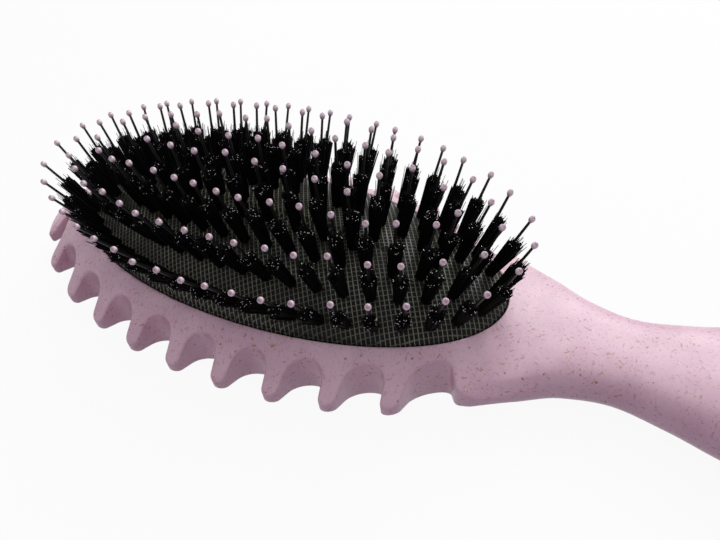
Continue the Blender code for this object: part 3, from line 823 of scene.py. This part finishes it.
def moulding_sections(sizes):
    """Closed sections across the moulding, with its edges rounded."""
    places = []
    for x, depth in stations(sizes):
        foot = ellipse_width(x, HEAD_SHIFT, ROOT_HALF_LENGTH, ROOT_HALF_WIDTH) if depth else 0
        places.append((x, mix(outline_width(x), foot, depth)))
    sections = []
    for k, (x, y) in enumerate(places):
        before, after = places[max(k - 1, 0)], places[min(k + 1, len(places) - 1)]
        along, out = after[0] - before[0], after[1] - before[1]
        length = hypot(along, out)
        side = head_half_section(x, y, (out / length, -along / length), sizes)
        handle = ease_over(HANDLE_ROWS, x)
        if handle:
            round_side = handle_half_section(x, y)
            side = [Vector(a).lerp(Vector(b), handle) for a, b in zip(side, round_side)]
        sections.append(side + [(px, -py, pz) for px, py, pz in reversed(side[1:-1])])
    return sections


def oval(inset, height):
    """A loop round the pad at a distance in from its edge."""
    length, width = PAD_HALF_LENGTH - inset, PAD_HALF_WIDTH - inset
    angles = [2 * pi * k / OVAL_POINTS for k in range(OVAL_POINTS)]
    return [(length * cos(a), width * sin(a), height) for a in angles]


def recess_loops(sizes):
    """The recess, with a rounded mouth."""
    lip = sizes.lip_round
    loops = [oval(RECESS_INSET - lip * 1.5, RIM_HEIGHT + CUTTER_RISE)]
    for k in range(MOUTH_STEPS + 1):
        angle = k / MOUTH_STEPS * pi / 2
        loops.append(oval(RECESS_INSET - lip * (1 - sin(angle)), RIM_HEIGHT - lip * (1 - cos(angle))))
    loops.append(oval(RECESS_INSET, RIM_HEIGHT - RECESS_DEPTH))
    return loops


def fleck_mask(finish, flat, cell, length, width, share, shift):
    """Short strokes of uneven size and strength, one in some of the cells of a random grid."""
    start = finish.moved(flat, (shift, shift * 0.7, 0))
    values = {"Vector": start, "Scale": 1 / cell}
    settings = {"voronoi_dimensions": "2D", "feature": "F1"}
    chance = finish.node("ShaderNodeTexVoronoi", settings, values, "Color")
    centre = finish.node("ShaderNodeTexVoronoi", settings, values, "Position")
    inside = finish.moved(start, centre, "SUBTRACT")
    stroke = finish.turned(inside, (chance.part("X") - 0.5) * 6)
    size = chance.part("Y") + 0.3
    along = stroke.part("X") / (size * length)
    across = stroke.part("Y") / (size * width)
    away = along * along + across * across
    return (1 - away.fade(0.25, 1.1)) * (chance.part("Z") < share) * (chance.part("X") * 0.5 + 0.5)


def plastic_finish(sizes):
    """Satin pink plastic with short plant fibres and dark specks in it."""
    finish = Finish("fibre_plastic")
    place = finish.place_mm()
    wobble = finish.noise(place, WOBBLE_SIZE, roughness=0.6, output="Color")
    wobble = finish.scaled(finish.moved(wobble, (0.5, 0.5, 0.5), "SUBTRACT"), WOBBLE_REACH)
    flat = finish.moved(finish.skin_mm(), wobble)
    gathered = finish.noise(place, CLOUD_SIZE).fade(0.34, 0.6) * 0.6 + 0.4
    fine = fleck_mask(finish, flat, *FINE_FLECKS) * gathered
    long = fleck_mask(finish, flat, *LONG_FLECKS) * gathered
    rust = fleck_mask(finish, flat, *RUST_FLECKS) * gathered
    specks = fleck_mask(finish, flat, *SPECKS)

    clouds = finish.noise(place, CLOUD_SIZE, detail=3, roughness=0.6).fade(0.38, 0.66)
    colour = finish.blend(clouds, sizes.colour[:], CLOUD_COLOUR)
    dust = finish.noise(place, DUST_SIZE, detail=3, roughness=0.7).fade(0.5, 0.75)
    colour = finish.blend(dust * 0.3, colour, DUST_COLOUR)
    colour = finish.blend(fine * 0.75, colour, FINE_FLECK_COLOUR)
    colour = finish.blend(long * 0.9, colour, sizes.fibre_colour[:])
    colour = finish.blend(rust * 0.85, colour, RUST_COLOUR)
    colour = finish.blend(specks * 0.85, colour, sizes.speck_colour[:])

    grain = finish.noise(place, GRAIN_SIZE, detail=3, roughness=0.6)
    finish.set(Base_Color=colour, Roughness=grain * 0.1 + 0.38)
    finish.set(Normal=finish.bump(grain + long * 0.5, distance=0.00002, strength=0.5))
    finish.set(Coat_Weight=0.15, Coat_Roughness=0.3)
    finish.set(Subsurface_Weight=0.12, Subsurface_Radius=(1.0, 0.45, 0.6), Subsurface_Scale=0.002)
    return finish


class BRUSH_OT_moulding(bpy.types.Operator):
    """Builds the head, neck and handle, one moulding with teeth along the head's sides"""

    bl_idname = "brush.moulding"
    bl_label = "Head and handle"

    def execute(self, context):
        sizes = context.scene.brush_moulding
        mesh = bridge_along(moulding_sections(sizes))
        moulding = finish_object("head_and_handle", mesh, plastic_finish(sizes), "handle")
        cutter = bridge_along(recess_loops(sizes))
        bmesh.ops.translate(cutter, verts=cutter.verts, vec=(PAD_MIDDLE_X, 0, 0))
        cut_away(moulding, cutter)
        map_skin(moulding)
        moulding.data.set_sharp_from_angle(angle=radians(SHARP_ANGLE))
        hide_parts("handle_body")
        return {"FINISHED"}


# The pad


def dome_height(x, y, sizes):
    inside = max(0, 1 - (x / PAD_HALF_LENGTH) ** 2 - (y / PAD_HALF_WIDTH) ** 2)
    return RIM_HEIGHT + sizes.dome_height * inside**sizes.dome_power


def pad_loops(sizes):
    """The pad from its underside, round its edge and up the dome."""
    skirt = RIM_HEIGHT - PAD_SKIRT
    loops = [oval(PAD_UNDERSIDE_INSET, skirt), oval(0, skirt), oval(0, RIM_HEIGHT - PAD_EDGE_ROUND)]
    for k in range(1, PAD_EDGE_STEPS + 1):
        angle = k / PAD_EDGE_STEPS * pi / 2
        inset = PAD_EDGE_ROUND * (1 - cos(angle))
        loops.append(oval(inset, RIM_HEIGHT - PAD_EDGE_ROUND * (1 - sin(angle))))
    for k in range(1, PAD_STEPS):
        inset = mix(PAD_FIRST_INSET, PAD_LAST_INSET, (k / PAD_STEPS) ** PAD_STEP_POWER)
        loops.append([(x, y, dome_height(x, y, sizes)) for x, y, _ in oval(inset, 0)])
    return loops


def pad_finish(sizes):
    """Dark rubber under a net of raised threads, whose colour is partly their own olive tint and partly
    painted highlight.
    """
    finish = Finish("pad_rubber")
    place = finish.place_mm()
    grid = finish.scaled(finish.turned(place, -sizes.weave_turn), 0.001 / sizes.weave_pitch)
    u, v = grid.part("X"), grid.part("Y")
    beside_u, beside_v = abs(u - u.maths("ROUND")), abs(v - v.maths("ROUND"))
    height = (1 - beside_u.fade(0.02, 0.25)).maths("MAXIMUM", (1 - beside_v.fade(0.01, 0.2)) * 0.7)
    # Threads darker in random patches
    dark_patches = finish.noise(place, DARK_PATCH_SIZE).fade(0.4, 0.62)
    thread_tint_and_highlight = finish.blend(dark_patches, sizes.colour[:], PATCHY_THREAD_COLOUR)
    # Raised threads take the lighter colour, partly their tint and partly painted highlight
    colour = finish.blend(height.fade(0.3, 1.0), sizes.pit_colour[:], thread_tint_and_highlight)
    finish.set(Base_Color=colour, Roughness=0.6 - height * 0.25, Specular_IOR_Level=0.15)
    finish.set(Coat_Weight=height * 0.6, Coat_Roughness=0.3)
    finish.set(Normal=finish.bump(height, distance=0.00045, strength=1.0))
    return finish


class BRUSH_OT_pad(bpy.types.Operator):
    """Builds the domed pad that the bristles stand on"""

    bl_idname = "brush.pad"
    bl_label = "Pad"

    def execute(self, context):
        sizes = context.scene.brush_pad
        mesh = bridge_along(pad_loops(sizes))
        pad = finish_object("bristle_pad", mesh, pad_finish(sizes), "handle", 60)
        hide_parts("cushion_pad")
        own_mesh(pad)
        return {"FINISHED"}


# Pins and tufts


def ring_point(ring, angle, sizes):
    """A point of a ring on the pad. The centre ring has straight sides and round ends."""
    name, share, _, _ = RINGS[ring]
    inset = mix(OUTER_RING_INSET, PAD_HALF_WIDTH, share)
    if name != "centre":
        x, y = (PAD_HALF_LENGTH - inset) * cos(angle), (PAD_HALF_WIDTH - inset) * sin(angle)
    else:
        turn = min(max(sin(angle) / sin(RING_END_ANGLE), -1), 1)
        reach = min(max(cos(angle) / cos(RING_END_ANGLE), -1), 1)
        radius = PAD_HALF_WIDTH - inset
        x = CENTRE_RING_HALF_LENGTH * reach + copysign(radius * sqrt(1 - turn * turn), reach)
        y = radius * turn
    return Vector((x, y, dome_height(x, y, sizes)))


def feet(ring, sizes):
    """Places of the tufts of a ring on the pad, evenly spaced along it."""
    count = RINGS[ring][2]
    fine = [ring_point(ring, 2 * pi * k / RING_SAMPLES, sizes) for k in range(RING_SAMPLES + 1)]
    way = [0]
    for a, b in zip(fine, fine[1:]):
        way.append(way[-1] + (b - a).length)
    spots = []
    k = 0
    for number in range(count):
        target = (number + FIRST_FOOT) / count * way[-1]
        while way[k + 1] < target:
            k += 1
        spots.append(fine[k].lerp(fine[k + 1], (target - way[k]) / (way[k + 1] - way[k])))
    return spots


def lean(foot, splay, uneven):
    """Direction of a pin or tuft at a point of the pad, with its lean times splay, and uneven added."""
    x, y = foot.x / PAD_HALF_LENGTH, foot.y / PAD_HALF_WIDTH
    lengthwise = copysign(LEAN_LENGTHWISE * abs(x) ** LENGTHWISE_POWER, x)
    sideways = LEAN_SIDEWAYS * y * max(hypot(x, y), 0.02) ** (SIDEWAYS_POWER - 1)
    return Vector((lengthwise * splay + uneven[0], sideways * splay + uneven[1], 1)).normalized()


def ring_nodes(kind, ring):
    """Names of the frame's nodes that a ring's piece stands for."""
    name, _, _, lengths = RINGS[ring]
    return [f"{kind}_{name}_{k + 1}" for k in range(lengths)] if lengths > 1 else [f"{kind}_{name}"]


def add_copy(mesh, template, matrix):
    """Adds a copy of a template mesh. Each of its points keeps its height in the template, in millimetres."""
    if not mesh.verts.layers.float.get("rise"):
        mesh.verts.layers.float.new("rise")
    count = len(mesh.verts)
    mesh.from_mesh(template)
    mesh.verts.ensure_lookup_table()
    rise = mesh.verts.layers.float.get("rise")
    for vert in mesh.verts[count:]:
        vert[rise] = vert.co.z * 1000
    bmesh.ops.transform(mesh, matrix=matrix, verts=mesh.verts[count:])


def template_from(mesh, name):
    data = bpy.data.meshes.new(name)
    mesh.to_mesh(data)
    mesh.free()
    return data


def pin_template(sizes):
    """The shaft of a pin, which stands on the origin."""
    neck = sizes.pin_height - sizes.ball_radius * BALL_OVERLAP
    mesh = bmesh.new()
    bmesh.ops.create_cone(
        mesh,
        cap_ends=True,
        segments=8,
        radius1=sizes.pin_radius,
        radius2=sizes.pin_top_radius,
        depth=neck + PIN_ROOT,
        matrix=Matrix.Translation((0, 0, (neck - PIN_ROOT) / 2)),
    )
    return template_from(mesh, "pin")


def ball_template(sizes):
    """The ball tip of a pin, drawn in towards the shaft."""
    mesh = bmesh.new()
    bmesh.ops.create_uvsphere(mesh, u_segments=12, v_segments=8, radius=sizes.ball_radius)
    for vert in mesh.verts:
        below = max(0, -vert.co.z / sizes.ball_radius)
        vert.co.z *= BALL_STRETCH + BALL_TAPER * below
    bmesh.ops.translate(mesh, verts=mesh.verts, vec=(0, 0, sizes.pin_height))
    return template_from(mesh, "ball_tip")


def tuft_template(sizes, chance):
    """A bundle of hairs of uneven length round the place of the pin."""
    mesh = bmesh.new()
    clumps = [chance.gauss(*CLUMP_RISE) for _ in range(CLUMPS)]
    for number in range(sizes.hairs):
        turn = number * GOLDEN_TURN
        outward = Vector((cos(turn), sin(turn), 0))
        spread = sqrt((number + 0.5) / sizes.hairs)
        stray = chance.random() < STRAY_SHARE
        root = outward * spread * sizes.tuft_root
        wide = spread * sizes.tuft_top * (STRAY_SPREAD if stray else chance.uniform(*HAIR_SPREAD))
        clump = clumps[int(turn / (2 * pi) * CLUMPS) % CLUMPS] if spread > CORE_SHARE else CORE_RISE
        length = sizes.tuft_height + clump + chance.gauss(0, HAIR_UNEVENNESS)
        if stray:
            length += chance.uniform(0, STRAY_RISE)
        top = outward * wide
        top.z = length
        axis = top - root
        made = bmesh.ops.create_cone(
            mesh,
            cap_ends=True,
            segments=3,
            radius1=sizes.hair_radius * HAIR_ROOT,
            radius2=sizes.hair_radius * (STRAY_TIP if stray else 1.0),
            depth=axis.length,
            matrix=turned_to((top + root) / 2, axis, chance.uniform(0, 2)),
        )
        # Some hairs' top caps take the pale colour, a painted glint
        glint = 1 if chance.random() < GLINT_SHARE else 0
        highest = max(made["verts"], key=lambda vert: vert.co.z)
        for face in highest.link_faces:
            if all(vert.co.z > length / 2 for vert in face.verts):
                face.material_index = glint
    return template_from(mesh, "tuft")


def dark_finish(name, colour, roughness, gloss):
    """Plastic of pins and bristles, a little uneven in colour and gloss."""
    finish = Finish(name)
    streaks = finish.noise(finish.place_mm(), STREAK_SIZE)
    finish.set(Base_Color=finish.blend(streaks, colour[:], tuple(part * 1.8 for part in colour)))
    finish.set(Roughness=streaks * 0.2 + roughness, Specular_IOR_Level=gloss)
    return finish


def ball_finish(sizes):
    """Pale glossy plastic of the ball tips, with painted shade at their very top and on their undersides
    where they meet the pins.
    """
    finish = Finish("ball_tip")
    stains = finish.noise(finish.place_mm(), STAIN_SIZE)
    rise = finish.node("ShaderNodeAttribute", {"attribute_name": "rise"}, (), "Fac")
    middle, radius = sizes.pin_height * 1000, sizes.ball_radius * 1000
    # Painted shade at the very top of each ball
    crown = rise.fade(middle + radius * 0.55, middle + radius * 1.05)
    # Painted shade on each ball's underside, where it meets the pin
    neck = 1 - rise.fade(middle - radius * 1.3, middle - radius * 0.2)
    colour = finish.blend(crown, sizes.ball_colour[:], sizes.crown_shade_colour[:])
    colour = finish.blend(neck * 0.8, colour, BALL_UNDERSIDE_SHADE_COLOUR)
    colour = finish.blend(stains.fade(0.3, 0.7) * 0.2, colour, BALL_STAIN_COLOUR)
    finish.set(Base_Color=colour, Roughness=stains * 0.1 + 0.22)
    finish.set(Coat_Weight=0.4, Coat_Roughness=0.12)
    return finish


class BRUSH_OT_pins(bpy.types.Operator):
    """Builds the pins and their ball tips, ring by ring"""

    bl_idname = "brush.pins"
    bl_label = "Pins"

    def execute(self, context):
        sizes = context.scene.brush_bristles
        chance = random.Random(11)
        pin, ball = pin_template(sizes), ball_template(sizes)
        shaft_finish = dark_finish("pin_nylon", sizes.pin_colour, 0.3, 0.3)
        tip_finish = ball_finish(sizes)
        for ring, (name, _, _, _) in enumerate(RINGS):
            shafts, tips = bmesh.new(), bmesh.new()
            for foot in feet(ring, context.scene.brush_pad):
                uneven = (chance.gauss(0, PIN_UNEVENNESS), chance.gauss(0, PIN_UNEVENNESS))
                matrix = turned_to(foot, lean(foot, 1.0, uneven))
                add_copy(shafts, pin, matrix)
                add_copy(tips, ball, matrix)
            made = finish_object(f"pins_in_{name}_ring", shafts, shaft_finish, "bristle_bed")
            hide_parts(*ring_nodes("pins", ring))
            finish_object(f"ball_tips_in_{name}_ring", tips, tip_finish, "bristle_bed", 80)
        return {"FINISHED"}


class BRUSH_OT_tufts(bpy.types.Operator):
    """Builds the tufts of bristles round the pins, ring by ring"""

    bl_idname = "brush.tufts"
    bl_label = "Tufts"

    def execute(self, context):
        sizes = context.scene.brush_bristles
        chance = random.Random(7)
        templates = [tuft_template(sizes, chance) for _ in range(TUFT_KINDS)]
        hair_finish = dark_finish("bristle", sizes.hair_colour, 0.55, 0.1)
        # The pale material of the hairs' cut ends is a painted glint
        glint_finish = dark_finish("bristle_end", HAIR_GLINT_COLOUR, 0.3, 0.5)
        for ring, (name, _, _, _) in enumerate(RINGS):
            hairs = bmesh.new()
            for foot in feet(ring, context.scene.brush_pad):
                uneven = (chance.gauss(0, TUFT_UNEVENNESS), chance.gauss(0, TUFT_UNEVENNESS))
                along = lean(foot, TUFT_SPLAY if name == "outer" else 1.0, uneven)
                matrix = turned_to(foot - along * TUFT_SINK, along, chance.uniform(0, 2 * pi))
                add_copy(hairs, chance.choice(templates), matrix)
            made = finish_object(f"tufts_in_{name}_ring", hairs, hair_finish, "bristle_bed")
            made.data.materials.append(glint_finish.material)
            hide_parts(*ring_nodes("tufts", ring))
        return {"FINISHED"}


# The studio


class BRUSH_OT_studio(bpy.types.Operator):
    """Builds the pale floor, the soft light and the camera"""

    bl_idname = "brush.studio"
    bl_label = "Studio"

    def execute(self, context):
        sizes = context.scene.brush_studio
        self.build_floor(sizes)
        self.build_world(sizes)
        self.build_lamp("key", sizes.key_power, KEY_PLACE)
        self.build_lamp("top", sizes.top_power, TOP_PLACE)
        self.build_camera()
        context.scene.view_settings.view_transform = "Standard"
        return {"FINISHED"}

    def build_floor(self, sizes):
        mesh = bmesh.new()
        bmesh.ops.create_grid(mesh, x_segments=1, y_segments=1, size=sizes.floor_half)
        finish = Finish("floor")
        seen = finish.seen()
        finish.set(Base_Color=finish.blend(seen, FLOOR_BOUNCE_COLOUR, FLOOR_COLOUR))
        finish.set(Roughness=1.0, Specular_IOR_Level=0.0)
        white = finish.node("ShaderNodeEmission", {}, {"Color": (1, 1, 1), "Strength": 1.0})
        plain = Socket(finish, finish.surface.outputs[0])
        shown = finish.node("ShaderNodeMixShader", {}, [seen * FLOOR_WHITENESS, plain, white])
        finish.put(finish.tree.nodes["Material Output"].inputs["Surface"], shown)
        data = template_from(mesh, "floor")
        data.materials.append(finish.material)
        floor = bpy.data.objects.new("floor", data)
        floor.location.z = -FLOOR_DROP
        bpy.context.collection.objects.link(floor)

    def build_world(self, sizes):
        world = bpy.data.worlds.new("tent")
        world.use_nodes = True
        sky = Finish("tent", world)
        light = {"Color": TENT_COLOUR, "Strength": sizes.tent_strength}
        tent = sky.node("ShaderNodeBackground", {}, light)
        white = sky.node("ShaderNodeBackground", {}, {"Color": (1, 1, 1), "Strength": 1.0})
        shown = sky.node("ShaderNodeMixShader", {}, [sky.seen(), tent, white])
        sky.put(sky.tree.nodes["World Output"].inputs["Surface"], shown)
        bpy.context.scene.world = world

    def build_lamp(self, name, power, place):
        light = bpy.data.lights.new(name, "AREA")
        light.energy = power
        light.shape = "DISK"
        light.size = LAMP_SIZE
        lamp = bpy.data.objects.new(name, light)
        lamp.location = place
        aim = Vector(LAMP_TARGET) - lamp.location
        lamp.rotation_euler = aim.to_track_quat("-Z", "Y").to_euler()
        bpy.context.collection.objects.link(lamp)

    def build_camera(self):
        data = bpy.data.cameras.new("camera")
        data.sensor_width = CAMERA_SENSOR_MM
        data.lens = CAMERA_LENS_MM
        data.clip_start = 0.005
        camera = bpy.data.objects.new("camera", data)
        camera.location = CAMERA_PLACE
        camera.rotation_euler = CAMERA_TURN
        bpy.context.collection.objects.link(camera)
        bpy.context.scene.camera = camera


class BRUSH_PT_panel(bpy.types.Panel):
    """Lists the brush's pieces, with their sizes and colours"""

    bl_idname = "BRUSH_PT_panel"
    bl_label = "Styling brush"
    bl_space_type = "VIEW_3D"
    bl_region_type = "UI"
    bl_category = "Brush"

    def draw(self, context):
        for operator in OPERATORS:
            self.layout.operator(operator.bl_idname)
        for name in SETTINGS:
            box = self.layout.box()
            group = getattr(context.scene, name)
            for key in group.__annotations__:
                box.prop(group, key)


OPERATORS = [BRUSH_OT_moulding, BRUSH_OT_pad, BRUSH_OT_pins, BRUSH_OT_tufts, BRUSH_OT_studio]
SETTINGS = {
    "brush_moulding": MouldingSizes,
    "brush_pad": PadSizes,
    "brush_bristles": BristleSizes,
    "brush_studio": StudioSizes,
}


def register():
    for item in [*SETTINGS.values(), *OPERATORS, BRUSH_PT_panel]:
        bpy.utils.register_class(item)
    for name, group in SETTINGS.items():
        setattr(bpy.types.Scene, name, PointerProperty(type=group))


def unregister():
    for name in SETTINGS:
        delattr(bpy.types.Scene, name)
    for item in reversed([*SETTINGS.values(), *OPERATORS, BRUSH_PT_panel]):
        bpy.utils.unregister_class(item)


def main():
    register()
    bpy.ops.brush.moulding()
    bpy.ops.brush.pad()
    bpy.ops.brush.pins()
    bpy.ops.brush.tufts()
    bpy.ops.brush.studio()


if __name__ == "__main__":
    main()
